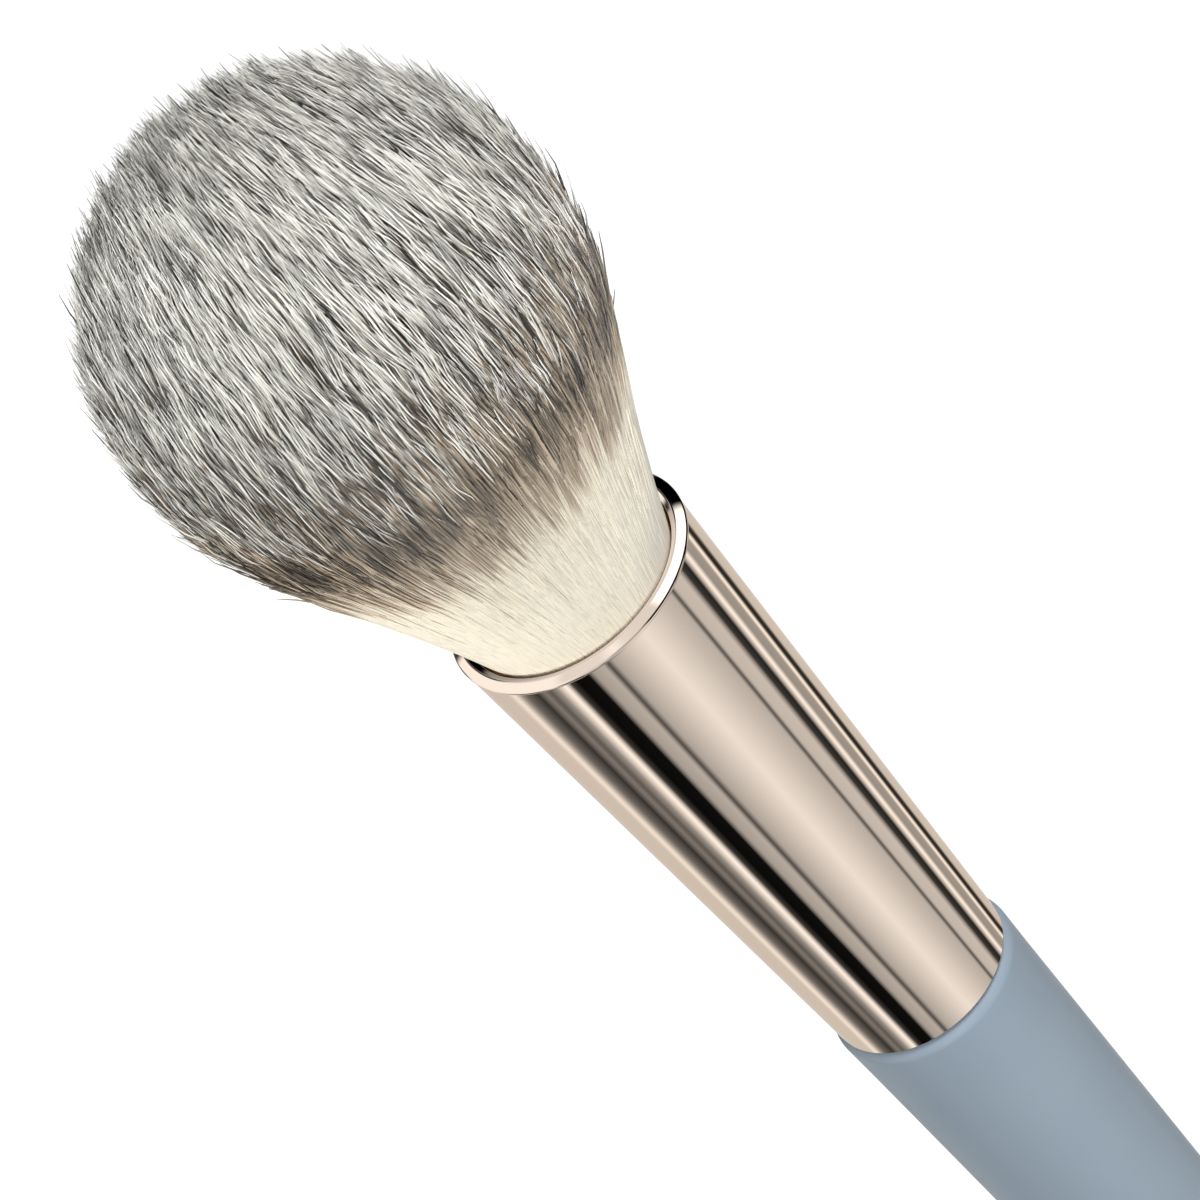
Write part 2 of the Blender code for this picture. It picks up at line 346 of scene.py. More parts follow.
@dataclass(frozen=True)
class SatinLacquer:
    """Birch, turned, sanded and dipped in a blue-grey satin lacquer.

    The dip levels out, so only a soft broad gloss and a faint orange peel are left.
    """

    colour: str = "86939e"
    shade: str = "818e9a"
    roughness: float = 0.38
    roughness_drift: float = 0.02
    drift_mm: float = 14.3
    peel_mm: float = 1.6

    def material(self) -> bpy.types.Material:
        """Build the lacquer with its slight change of tone and its orange peel."""
        material, add, shader = new_material("birch_blue_grey_lacquer")
        place = add("ShaderNodeTexCoord", out="Object")
        drift = {"Scale": 1000 / self.drift_mm, "Detail": 2.0}
        colour = add(RAMP, add(NOISE, place, sockets=drift))
        fill_ramp(colour, ((0.3, self.shade), (0.7, self.colour)))
        grain = {"Scale": 1000 / self.peel_mm, "Detail": 1.0}
        peel = add(NOISE, place, sockets=grain)
        low, high = self.roughness - self.roughness_drift, self.roughness + self.roughness_drift
        relief = {"Strength": 0.06, "Distance": 0.0001, "Height": peel}
        values = {
            "Base Color": colour,
            "Roughness": add(MAP_RANGE, peel, 0.3, 0.7, low, high),
            "Normal": add("ShaderNodeBump", sockets=relief),
            "IOR": 1.5,
            "Specular IOR Level": 0.25,
        }
        feed_named(shader, values)
        return material


@dataclass(frozen=True)
class DyedFibre:
    """Tapered polyester filament, crimped and dip-dyed: cream root, brown and grey shaft, pale point.

    Each strand reads its class and the place along it from the strand map, so dye lines and
    tones differ from strand to strand, but a strand is even all round. Places run from 0 at
    the root to 1 at the point. Part of the colour is painted shade: a tan band at the root,
    the darkest strands, which stand for shadowed slits between clumps, and flecks on the cream.
    """

    # painted shade: tan for the very root of each strand, where it goes into the lip's shadow
    stain: str = "c2b396"
    cream: str = "f9f1de"
    cream_shade: str = "f3ead6"
    taupe: str = "dccfba"
    brown: str = "c2b09a"
    shaft: str = "7a6f62"
    point: str = "faf8f1"
    low_point: str = "cabfae"
    levels: int = 16
    stain_end: tuple[float, float] = (0.007, 0.017)
    dye_line: float = 0.37
    lock_shift: float = 0.02
    own_shift: float = 0.025
    point_line: float = 0.88
    point_shift: float = 0.04
    lock_tone: float = 0.6
    # the darkest strands lack a pale point: partly random tone, partly painted shade for the slits
    # between clumps
    undyed: float = 0.74
    dark_doses: tuple[float, float] = (0.45, 0.78)
    tone_swing: tuple[float, float] = (0.04, 0.88)
    # painted shade: short dark flecks on the cream
    fleck: float = 0.018
    fleck_share: float = 0.4
    fleck_tone: float = 0.17

    @property
    def classes(self) -> int:
        """Number of classes: one for each level of a lock and of a strand in it."""
        return self.levels ** 2

    def material(self) -> bpy.types.Material:
        """Build the fibre's colours from the strand map."""
        material, add, shader = new_material("duo_tone_filament_dyed")
        across = add(SEPARATE, add("ShaderNodeUVMap", uv_map=STRAND_MAP))
        along = across.node.outputs["Y"]
        scaled = add(MATH, across, float(self.classes), operation="MULTIPLY")
        number = add(MATH, scaled, operation="FLOOR")
        draws = add(WHITE_NOISE, None, number, noise_dimensions="1D", out="Color")
        chance = add("ShaderNodeSeparateColor", draws)
        chance_2, chance_3 = chance.node.outputs[1], chance.node.outputs[2]
        level = add(MATH, number, float(self.classes), operation="DIVIDE")

        # dye line: each lock took the dye to its own depth, and each class a little more or less
        lock_shift = add(MAP_RANGE, level, 0.0, 1.0, -self.lock_shift, self.lock_shift)
        own_shift = add(MAP_RANGE, chance, 0.0, 1.0, -self.own_shift, self.own_shift)
        shift = add(MATH, lock_shift, own_shift, operation="ADD")
        dye_place = add(MATH, along, shift, operation="ADD")
        body = add(RAMP, dye_place)
        line = self.dye_line
        stops = (
            (0.0, self.cream_shade),
            (0.10, self.cream),
            (line - 0.08, self.cream),
            (line + 0.03, self.taupe),
            (line + 0.12, self.brown),
            (line + 0.28, self.brown),
            (line + 0.45, self.shaft),
        )
        fill_ramp(body, stops)
        # painted shade: a tan band at the very root, where the strands go down into the lip's shadow
        out_of_root_shade = add(MAP_RANGE, along, *self.stain_end, 0.0, 1.0)
        body = add(MIX, out_of_root_shade, linear(self.stain), body, data_type="RGBA")

        # bleached point, fuller to its end, which the darkest strands lack: these are partly painted
        # shade, which stands for the shadowed slits between clumps
        point_shift = add(MAP_RANGE, chance_2, 0.0, 1.0, -self.point_shift, self.point_shift)
        point_place = add(MATH, along, point_shift, operation="ADD")
        line = self.point_line
        pale = add(MAP_RANGE, point_place, line - 0.03, line + 0.02, 0.0, 1.0)
        own = add(MATH, chance_3, 1.0 - self.lock_tone, operation="MULTIPLY")
        dye_and_slit_shade = add(MATH, level, self.lock_tone, own, operation="MULTIPLY_ADD")
        bleached = add(MATH, dye_and_slit_shade, self.undyed, operation="LESS_THAN")
        pale = add(MATH, pale, bleached, operation="MULTIPLY")
        full = add(MAP_RANGE, point_place, line, line + 0.06, 0.0, 1.0)
        ends = (linear(self.low_point), linear(self.point))
        tip = add(MIX, full, *ends, data_type="RGBA")
        colour = add(MIX, pale, body, tip, data_type="RGBA")

        # tone of the strand, slight on the cream and strong on the grey: partly tone that differs at
        # random, partly painted shade, where the darkest strands stand for shadowed slits between
        # clumps
        line = self.dye_line
        swing = add(MAP_RANGE, dye_place, line + 0.06, line + 0.45, *self.tone_swing)
        darkness = add(MAP_RANGE, dye_and_slit_shade, *self.dark_doses, 0.0, 1.0)
        loss = add(MATH, swing, darkness, operation="MULTIPLY")
        tone = add(MATH, 1.0, loss, operation="SUBTRACT")

        # painted shade: short dark flecks on the cream, where the crimp turns a strand out of the light
        slid = add(MATH, chance_2, 0.1, along, operation="MULTIPLY_ADD")
        run = add(MATH, slid, self.fleck, operation="DIVIDE")
        run = add(MATH, run, operation="FLOOR")
        spot = add(COMBINE, number, run)
        fleck = add(WHITE_NOISE, spot, noise_dimensions="2D", out="Value")
        bare = 1.0 - self.fleck_share
        fleck = add(MAP_RANGE, fleck, bare, 1.0, 0.0, self.fleck_tone)
        pure = add(MAP_RANGE, dye_place, line - 0.04, line + 0.06, 1.0, 0.0)
        fleck = add(MATH, fleck, pure, operation="MULTIPLY")
        tone = add(MATH, tone, fleck, operation="SUBTRACT")
        values = {
            "Base Color": add(VECTOR_MATH, colour, sockets={"Scale": tone}, operation="SCALE"),
            "Roughness": 0.6,
            "Specular IOR Level": 0.25,
            "Sheen Weight": 0.15,
            "Sheen Roughness": 0.5,
        }
        feed_named(shader, values)
        return material


@dataclass(frozen=True)
class SettingResin:
    """Epoxy, poured: clear amber with a glossy meniscus. Hidden in the ferrule."""

    colour: str = "c9ae74"
    deep: str = "a98a4f"
    cloud_mm: float = 4.17

    def material(self) -> bpy.types.Material:
        """Build the resin with the cloudiness of a quick pour."""
        material, add, shader = new_material("epoxy_amber_poured")
        place = add("ShaderNodeTexCoord", out="Object")
        cloud = {"Scale": 1000 / self.cloud_mm, "Detail": 3.0}
        colour = add(RAMP, add(NOISE, place, sockets=cloud))
        fill_ramp(colour, ((0.35, self.deep), (0.65, self.colour)))
        feed_named(shader, {"Base Color": colour, "Roughness": 0.12})
        return material


@dataclass(frozen=True)
class HardenedGlue:
    """Contact cement, pressed out and hardened: dull, pale yellow and slightly pitted. Hidden."""

    colour: str = "e0d6bb"
    pit: str = "c9bc98"
    pit_mm: float = 1.11

    def material(self) -> bpy.types.Material:
        """Build the glue with its pits."""
        material, add, shader = new_material("contact_cement_hardened")
        place = add("ShaderNodeTexCoord", out="Object")
        grain = {"Scale": 1000 / self.pit_mm, "Detail": 2.0}
        pits = add(NOISE, place, sockets=grain)
        colour = add(RAMP, pits)
        fill_ramp(colour, ((0.4, self.pit), (0.55, self.colour)))
        relief = {"Strength": 0.3, "Distance": 0.0001, "Height": pits}
        bump = add("ShaderNodeBump", sockets=relief)
        feed_named(shader, {"Base Color": colour, "Normal": bump, "Roughness": 0.7})
        return material


@dataclass
class Ferrule:
    """Seamless cone of polished metal whose mouth is rolled inwards into a lip.

    The lip is a tight corner, a broad crown and a roll. Its angles say where one arc takes
    over from the next.
    """

    length: float = 0.0504
    mouth_radius: float = 0.0100
    tail_radius: float = 0.00757
    wall: float = 0.00042
    corner_radius: float = 0.00020
    crown_radius: float = 0.00115
    roll_radius: float = 0.00050
    corner_angle: float = 50.0
    crown_angle: float = 100.0
    lip_step: float = 0.00006
    tail_edge: float = 0.00015
    steps: int = 288
    finish: PolishedAluminium = PolishedAluminium()

    def cone_radius(self, station: float) -> float:
        """Outer radius of the cone at a station, which is below the lip and so under 0."""
        top = self.mouth_radius - self.lip_step
        return top + (top - self.tail_radius) * station / self.length

    def profile(self) -> Profile:
        """List the section of the rolled lip, the cone, its cut tail and its bore."""
        corner_turn = math.radians(self.corner_angle)
        crown_turn = math.radians(self.crown_angle)
        corner_inset = self.crown_radius - self.corner_radius
        roll_inset = self.crown_radius - self.roll_radius
        corner_rise = corner_inset * math.sin(corner_turn)
        corner = (self.mouth_radius - self.corner_radius, corner_rise - self.crown_radius)
        crown = (corner[0] - corner_inset * math.cos(corner_turn), -self.crown_radius)
        roll_rise = roll_inset * math.sin(crown_turn)
        roll = (crown[0] + roll_inset * math.cos(crown_turn), crown[1] + roll_rise)
        bore = self.cone_radius(roll[1] - self.roll_radius) - self.wall
        cone = self.cone_radius(corner[1])
        end = 360 - math.degrees(math.acos((bore - roll[0]) / self.roll_radius))
        start = -math.degrees(math.acos((cone - corner[0]) / self.corner_radius))
        points = arc(roll, self.roll_radius, end, self.crown_angle, 24)
        points += arc(crown, self.crown_radius, self.crown_angle, self.corner_angle, 16)[1:]
        points += arc(corner, self.corner_radius, self.corner_angle, start, 12)[1:]
        tail = self.tail_edge - self.length
        stations = [points[-1][1] + (tail - points[-1][1]) * i / 12 for i in range(1, 13)]
        points += [(self.cone_radius(station), station) for station in stations]
        points += [(self.tail_radius - self.tail_edge, -self.length)]
        points += [(self.tail_radius - self.wall, -self.length)]
        return points

    def build(self) -> bpy.types.Object:
        """Turn the ferrule, finish it and hang it on the frame."""
        piece = turned_piece("ferrule_polished", self.profile(), self.steps, closed=True)
        piece.data.materials.append(self.finish.material())
        report(piece, ["ferrule"])
        return piece


@dataclass
class Handle:
    """Turned handle with a soft shoulder, a slight taper and a rounded butt, and its tenon."""

    shoulder: float = -0.0505
    length: float = 0.0962
    shoulder_radius: float = 0.00785
    butt_radius: float = 0.0051
    shoulder_round: float = 0.0010
    butt_round: float = 0.0031
    tenon_top: float = -0.0216
    seat_top: float = -0.0387
    seat_radius: float = 0.00685
    waist_radius: float = 0.0062
    steps: int = 256
    finish: SatinLacquer = SatinLacquer()

    def radius(self, station: float) -> float:
        """Radius of the straight taper at a station below the shoulder."""
        share = (self.shoulder - station) / self.length
        return self.shoulder_radius + (self.butt_radius - self.shoulder_radius) * share

    def profile(self) -> Profile:
        """List the section from the tenon's end, over the shoulder, to the flat of the butt."""
        butt = self.shoulder - self.length
        points: Profile = [(0.0, self.tenon_top), (self.waist_radius, self.tenon_top)]
        points += [(self.waist_radius, self.seat_top), (self.seat_radius, self.seat_top)]
        points += [(self.seat_radius, self.shoulder)]
        round_centre = (self.shoulder_radius - self.shoulder_round, self.shoulder - self.shoulder_round)
        points += arc(round_centre, self.shoulder_round, 78, 0, 14)
        first = points[-1][1]
        last = butt + self.butt_round
        stations = [first + (last - first) * i / 24 for i in range(1, 25)]
        points += [(self.radius(station), station) for station in stations]
        end_centre = (self.radius(last) - self.butt_round, last)
        points += arc(end_centre, self.butt_round, 0, -90, 18)[1:]
        points += [(0.0, butt)]
        return points

    def build(self) -> bpy.types.Object:
        """Turn the handle, finish it and hang it on the frame."""
        piece = turned_piece("handle_lacquered", self.profile(), self.steps, closed=False)
        piece.data.materials.append(self.finish.material())
        report(piece, ["handle"])
        return piece


class Layer(Enum):
    """The two layers of the knot that show: long outer bristles and the ends of the inner ones."""

    SKIRT = "skirt"
    CROWN = "crown"


@dataclass(frozen=True)
class Growth:
    """How one layer of bristles grows.

    Reach is the height of a strand's end over the belly, as a share of the dome's height. Pull
    is how far its point leans to its clump and lock, and mess how far it wanders by itself.
    """

    strands: int
    points: int
    low_reach: float
    high_reach: float
    reach_power: float
    length: float
    radius: float
    pull: float
    mess: float
    seed: int

    def inputs(self, sector: int) -> dict[str, Any]:
        """List the inputs of the tree by name, with what one sector gives them.

        Args:
            sector: Number of the sector, from 0.

        Returns:
            The numbers of the layer and the sector. Each sector has a seed of its own.
        """
        names = [entry.name for entry in fields(self)]
        values = {name.replace("_", " ").title(): getattr(self, name) for name in names}
        return values | {"Sector": sector, "Seed": self.seed + 7 * sector}


@dataclass
class BristleKnot:
    """The domed knot, in sectors that each stand for one tuft of the solids.

    Heights are counted from the ferrule's mouth. Strands gather in clumps, and in them in locks
    of a few strands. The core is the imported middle, which shows only between the strands.
    """

    sectors: int = 6
    root: float = -0.0020
    belly_radius: float = 0.01795
    belly: float = 0.0296
    top: float = 0.0499
    draw_in: float = 0.35
    flare_mm: tuple[tuple[float, float], ...] = (
        (-2.0, 7.85), (0.0, 8.48), (5.6, 10.45), (11.6, 12.65), (16.6, 14.65), (20.6, 16.25),
        (24.6, 17.35), (29.6, 17.95),
    )
    flare_unit_mm: float = 20.0
    depth: float = 0.09
    root_depth: float = 0.015
    depth_start: float = 0.012
    variety: tuple[float, float] = (0.75, 1.25)
    stray: float = 0.0008
    stray_power: float = 5.0
    short: float = 0.0015
    start_sink: float = 0.0015
    start_rise: float = 0.01
    clump_size: float = 0.0030
    clump_share: float = 0.3
    lock_size: float = 0.00036
    lean_power: float = 2.5
    crimp: float = 0.0008
    crimp_size: float = 0.0022
    crimp_rise: tuple[float, float] = (0.001, 0.014)
    taper_length: float = 0.0032
    taper_power: float = 0.7
    finest: float = 0.28
    floor_gap: float = 0.0002
    floor_ease: float = 0.0006
    map_per_metre: float = 20.0
    map_turn: tuple[float, float] = (0.0065, 0.0040)
    low_reaches: tuple[float, float] = (-0.45, -0.05)
    lowest_point: float = 0.62
    side_step: float = 0.25
    side_slant: float = 0.004
    core_skin: float = 0.00012
    core_sink: float = 0.0030
    core_sink_mm: tuple[float, float] = (11.0, 21.0)
    core_top: float = 0.0075
    streak_mm: float = 1.11
    layers: dict[Layer, Growth] = field(
        default_factory=lambda: {
            Layer.SKIRT: Growth(
                strands=2600, points=7, low_reach=-0.5, high_reach=0.35, reach_power=1.0,
                length=0.2, radius=0.000068, pull=0.5, mess=0.0005, seed=11,
            ),
            Layer.CROWN: Growth(
                strands=4000, points=8, low_reach=-0.42, high_reach=1.0, reach_power=0.75,
                length=0.012, radius=0.000076, pull=0.8, mess=0.0014, seed=23,
            ),
        }
    )
    finish: DyedFibre = DyedFibre()

    def tree(self) -> bpy.types.NodeTree:
        """Build the Geometry Nodes tree that grows one layer of one sector.

        Returns:
            The tree, whose inputs are the numbers of Growth, the sector and the material.
        """
        tree = bpy.data.node_groups.new("bristle_sector", "GeometryNodeTree")
        face = tree.interface
        face.new_socket("Geometry", in_out="OUTPUT", socket_type="NodeSocketGeometry")
        for name in ("Strands", "Points", "Sector", "Seed"):
            face.new_socket(name, in_out="INPUT", socket_type="NodeSocketInt")
        for name in ("Low Reach", "High Reach", "Reach Power", "Length", "Radius", "Pull", "Mess"):
            face.new_socket(name, in_out="INPUT", socket_type="NodeSocketFloat")
        face.new_socket("Material", in_out="INPUT", socket_type="NodeSocketMaterial")
        given = tree.nodes.new("NodeGroupInput").outputs
        add = partial(add_node, tree)

        # one strand is a run of points
        index = add("GeometryNodeInputIndex")
        strand = add(WHOLE_MATH, index, given["Points"], operation="DIVIDE_FLOOR")
        place = add(WHOLE_MATH, index, given["Points"], operation="MODULO")
        last = add(MATH, given["Points"], 1.0, operation="SUBTRACT")
        t = add(MATH, place, last, operation="DIVIDE")
        count = add(WHOLE_MATH, given["Strands"], given["Points"], operation="MULTIPLY")

        # chance numbers of the strand
        draws = []
        for step in range(4):
            seed = add(WHOLE_MATH, given["Seed"], 101 * step, operation="ADD")
            ends = ((0.0, 0.0, 0.0), (1.0, 1.0, 1.0))
            draw = add("FunctionNodeRandomValue", *ends, strand, seed, data_type="FLOAT_VECTOR")
            draws += list(add(SEPARATE, draw).node.outputs)
        around, outward, length_chance, stray_chance, tone, thick = draws[:6]
        bend, short_chance, depth_chance = draws[6:9], draws[9], draws[10]

        # where it points: azimuth, reach and share of the knot's radius
        turn = add(MATH, given["Sector"], around, operation="ADD")
        azimuth = add(MATH, turn, math.tau / self.sectors, operation="MULTIPLY")
        cosine = add(MATH, azimuth, operation="COSINE")
        sine = add(MATH, azimuth, operation="SINE")
        spread = add(MATH, outward, given["Reach Power"], operation="POWER")
        reach = add(MAP_RANGE, spread, 0.0, 1.0, given["Low Reach"], given["High Reach"])
        dome_reach = add(MATH, reach, 0.0, operation="MAXIMUM")
        squared = add(MATH, dome_reach, 2.0, operation="POWER")
        left = add(MATH, 1.0, squared, operation="SUBTRACT")
        edge = add(MATH, left, operation="SQRT")
        drawn = add(MATH, squared, -self.draw_in, 1.0, operation="MULTIPLY_ADD")
        share = add(MATH, edge, drawn, operation="DIVIDE")

        # heights of its end, its start and this point
        end = add(MATH, reach, self.top - self.belly, self.belly, operation="MULTIPLY_ADD")
        rare = add(MATH, stray_chance, self.stray_power, operation="POWER")
        over = add(MATH, rare, self.stray, operation="MULTIPLY")
        under = add(MATH, short_chance, self.short, operation="MULTIPLY")
        over = add(MATH, over, under, operation="SUBTRACT")
        strand_end = add(MATH, end, over, operation="ADD")
        shaft = add(MAP_RANGE, length_chance, 0.0, 1.0, *self.variety)
        shaft = add(MATH, shaft, given["Length"], operation="MULTIPLY")
        start = add(MATH, strand_end, shaft, operation="SUBTRACT")
        start = add(MATH, start, self.root, operation="MAXIMUM")
        height = add(MIX, t, start, strand_end, data_type="FLOAT", clamp_factor=False)
        to_tip = add(MATH, strand_end, height, operation="SUBTRACT")

        def point(at: Socket, depth: Any) -> Socket:
            """Place a point of the strand by the flare and the dome's draw-in.

            Args:
                at: Its height.
                depth: How far it is buried under its neighbours.

            Returns:
                Its place, with Z along the brush's own axis.
            """
            share_up = add(MAP_RANGE, at, self.root, self.belly, 0.0, 1.0)
            flare = add("ShaderNodeFloatCurve", 1.0, share_up)
            span, unit = self.belly - self.root, self.flare_unit_mm
            fill_curve(flare, [((h / 1000 - self.root) / span, r / unit) for h, r in self.flare_mm])
            above = add(MAP_RANGE, at, self.belly, self.top, 0.0, 1.0, clamp=False)
            above = add(MATH, above, 0.0, operation="MAXIMUM")
            above = add(MATH, above, 2.0, operation="POWER")
            drawn = add(MATH, above, -self.draw_in, 1.0, operation="MULTIPLY_ADD")
            depths = (-self.root_depth, -self.depth)
            sunk = add(MAP_RANGE, at, self.depth_start, self.belly, *depths)
            sunk = add(MATH, depth_chance, sunk, 1.0, operation="MULTIPLY_ADD")
            radius = flare
            for factor in (drawn, unit / 1000, share, sunk):
                radius = add(MATH, radius, factor, operation="MULTIPLY")
            radius = add(MATH, radius, depth, operation="SUBTRACT")
            x, y = (add(MATH, radius, part, operation="MULTIPLY") for part in (cosine, sine))
            return add(COMBINE, x, y, at)

        # a strand that does not start at the root comes up from under its neighbours
        starts = (self.root, self.root + self.start_rise)
        late = add(MAP_RANGE, start, *starts, 0.0, self.start_sink)
        early = add(MATH, 1.0, t, operation="SUBTRACT")
        early = add(MATH, early, 2.0, operation="POWER")
        buried = add(MATH, late, early, operation="MULTIPLY")
        smooth = point(height, buried)
        tip = point(end, 0.0)

        # towards its point it leans to the middle of its clump, and then of its lock
        bent = smooth
        power = add(MATH, t, self.lean_power, operation="POWER")
        full_pull = add(MATH, power, given["Pull"], operation="MULTIPLY")
        for size, part in ((self.clump_size, self.clump_share), (self.lock_size, 1.0)):
            pull = add(MATH, full_pull, part, operation="MULTIPLY")
            centre = add("ShaderNodeTexVoronoi", tip, sockets={"Scale": 1 / size}, out="Position")
            gap = add(VECTOR_MATH, centre, tip, operation="SUBTRACT")
            lean = add(VECTOR_MATH, gap, sockets={"Scale": pull}, operation="SCALE")
            bent = add(VECTOR_MATH, bent, lean, operation="ADD")
        lock_centre = centre

        # it wanders a little by itself, and has a crimp that neighbours share
        wander = add(COMBINE, *bend)
        amount = add(MATH, t, 2.0, operation="POWER")
        amount = add(MATH, amount, given["Mess"], operation="MULTIPLY")
        waves = {"Scale": 1 / self.crimp_size, "Detail": 1.0}
        wave = add(NOISE, smooth, sockets=waves, out="Color")
        swing = add(MAP_RANGE, height, *self.crimp_rise, 0.0, self.crimp)
        for way, size in ((wander, amount), (wave, swing)):
            way = add(VECTOR_MATH, way, (0.5, 0.5, 0.5), operation="SUBTRACT")
            way = add(VECTOR_MATH, way, sockets={"Scale": size}, operation="SCALE")
            bent = add(VECTOR_MATH, bent, way, operation="ADD")

        # class of the strand: the level of its lock, and its own
        lock_chance = add(WHITE_NOISE, lock_centre, noise_dimensions="3D", out="Value")
        steps = []
        for chance in (lock_chance, tone):
            level = add(MATH, chance, self.finish.levels - 0.01, operation="MULTIPLY")
            steps.append(add(MATH, level, operation="FLOOR"))
        number = add(MATH, steps[0], float(self.finish.levels), steps[1], operation="MULTIPLY_ADD")

        # place along it, counted from the nearer end: low strands end before the pale point
        from_root = add(MATH, height, self.map_per_metre, operation="MULTIPLY")
        low = add(MAP_RANGE, reach, *self.low_reaches, self.lowest_point, 1.0)
        from_tip = add(MATH, to_tip, -self.map_per_metre, low, operation="MULTIPLY_ADD")
        span = (*self.map_turn, 0.0, 1.0)
        turned = add(MAP_RANGE, to_tip, *span, interpolation_type="SMOOTHSTEP")
        along = add(MIX, turned, from_root, from_tip, data_type="FLOAT")
        along = add("ShaderNodeClamp", along, 0.002, 0.99)

        # thickness: fine at the point
        slim = add(MAP_RANGE, to_tip, 0.0, self.taper_length, 0.0, 1.0)
        slim = add(MATH, slim, self.taper_power, operation="POWER")
        scale = add(MATH, slim, 1 - self.finest, self.finest, operation="MULTIPLY_ADD")
        own = add(MAP_RANGE, thick, 0.0, 1.0, *self.variety)
        for factor in (own, given["Radius"]):
            scale = add(MATH, scale, factor, operation="MULTIPLY")

        # points, curves, mesh
        points = add("GeometryNodePoints", count, bent)
        for name, value in (("number", number), ("along", along), ("scale", scale)):
            points = add(STORE, points, None, name, value, data_type="FLOAT")
        curves = add("GeometryNodePointsToCurves", points, strand)
        ring = add("GeometryNodeCurvePrimitiveCircle", 3, sockets={"Radius": 1.0})
        side = add("GeometryNodeInputIndex")
        ring = add(STORE, ring, None, "side", side, data_type="FLOAT")
        names = ("number", "along", "scale", "side")
        read = {name: add("GeometryNodeInputNamedAttribute", name, data_type="FLOAT") for name in names}
        mesh = add("GeometryNodeCurveToMesh", curves, ring, read["scale"], True)
        lay = {"Translation": tuple(AXIS.mouth), "Rotation": tuple(AXIS.matrix().to_euler())}
        mesh = add("GeometryNodeTransform", mesh, sockets=lay)

        # soft ends give way on the floor
        x, y, z = add(SEPARATE, add("GeometryNodeInputPosition")).node.outputs
        lifted = add(MATH, z, self.floor_gap, self.floor_ease, operation="SMOOTH_MAX")
        mesh = add("GeometryNodeSetPosition", mesh, None, add(COMBINE, x, y, lifted))

        # strand map: the class gives a strip across it, and the place along the strand the
        # height. Each side has its own place in the strip, and a slant keeps its faces open.
        strip = add(MATH, read["side"], self.side_step, self.side_step, operation="MULTIPLY_ADD")
        strip = add(MATH, strip, read["number"], operation="ADD")
        strip = add(MATH, strip, 1 / self.finish.classes, operation="MULTIPLY")
        middle = add(MATH, read["side"], 1.0, 0.1, operation="COMPARE")
        slant = add(MATH, middle, self.side_slant, read["along"], operation="MULTIPLY_ADD")
        place = add(COMBINE, strip, slant)
        for name in (STRAND_MAP, BAKE_MAP):
            mesh = add(STORE, mesh, None, name, place, data_type="FLOAT2", domain="CORNER")
        for name in names:
            mesh = add("GeometryNodeRemoveAttribute", mesh, name)
        mesh = add("GeometryNodeSetShadeSmooth", mesh, sockets={"Shade Smooth": True})
        mesh = add("GeometryNodeRealizeInstances", mesh)
        mesh = add("GeometryNodeSetMaterial", mesh, None, given["Material"])
        add("NodeGroupOutput", mesh)
        return tree

    def grow(
        self,
        tree: bpy.types.NodeTree,
        layer: Layer,
        sector: int,
        material: bpy.types.Material,
    ) -> bpy.types.Object:
        """Grow one layer of one sector and turn it into a plain mesh.

        Args:
            tree: The Geometry Nodes tree.
            layer: Layer to grow.
            sector: Number of the sector, from 0.
            material: Finish of the strands.

        Returns:
            The finished piece.
        """
        name = f"bristles_{layer.value}_{sector + 1}"
        source = new_object(f"{name}_source", bpy.data.meshes.new(f"{name}_source"))
        modifier = source.modifiers.new("growth", "NODES")
        modifier.node_group = tree
        values = self.layers[layer].inputs(sector) | {"Material": material}
        for item in tree.interface.items_tree:
            if item.in_out == "INPUT":
                modifier[item.identifier] = values[item.name]
        graph = bpy.context.evaluated_depsgraph_get()
        mesh = bpy.data.meshes.new_from_object(source.evaluated_get(graph))
        mesh.name = name
        source.modifiers.remove(modifier)
        bpy.data.objects.remove(source, do_unlink=True)
        return new_object(name, mesh)

    def core_profile(self) -> Profile:
        """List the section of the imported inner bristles, which fill the knot under the shown ones."""
        rise = self.top - self.core_top - self.belly
        points: Profile = [(0.0, self.belly + rise)]
        for step in range(1, 13):
            angle = math.pi / 2 * (1 - step / 12)
            radius = (self.belly_radius - self.core_sink) * math.cos(angle)
            points.append((radius, self.belly + rise * math.sin(angle)))
        first, last = self.core_sink_mm
        for height, radius in reversed(self.flare_mm[:-1]):
            deeper = min(1.0, max(0.0, (height - first) / (last - first)))
            inset = self.core_skin + (self.core_sink - self.core_skin) * deeper
            points.append((radius / 1000 - inset, height / 1000))
        points.append((0.0, self.root))
        return points

    def core_material(self) -> bpy.types.Material:
        """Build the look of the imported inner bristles: cream low down, dark and streaked above."""
        material, add, shader = new_material("packed_filament_in_shadow")
        place = add("ShaderNodeTexCoord", out="Object")
        reach = add(VECTOR_MATH, place, tuple(AXIS.along), operation="DOT_PRODUCT", out="Value")
        base = AXIS.mouth.dot(AXIS.along)
        height = add(MAP_RANGE, reach, base, base + self.top, 0.0, 1.0)
        streaks = add(NOISE, place, sockets={"Scale": 1000 / self.streak_mm, "Detail": 2.0})
        shift = add(MAP_RANGE, streaks, 0.3, 0.7, -0.04, 0.04)
        colour = add(RAMP, add(MATH, height, shift, operation="ADD"))
        dyes = (self.finish.cream_shade, self.finish.cream, self.finish.taupe, self.finish.shaft)
        fill_ramp(colour, zip((0.02, 0.26, 0.33, 0.43), dyes))
        feed_named(shader, {"Base Color": colour, "Roughness": 0.9})
        return material

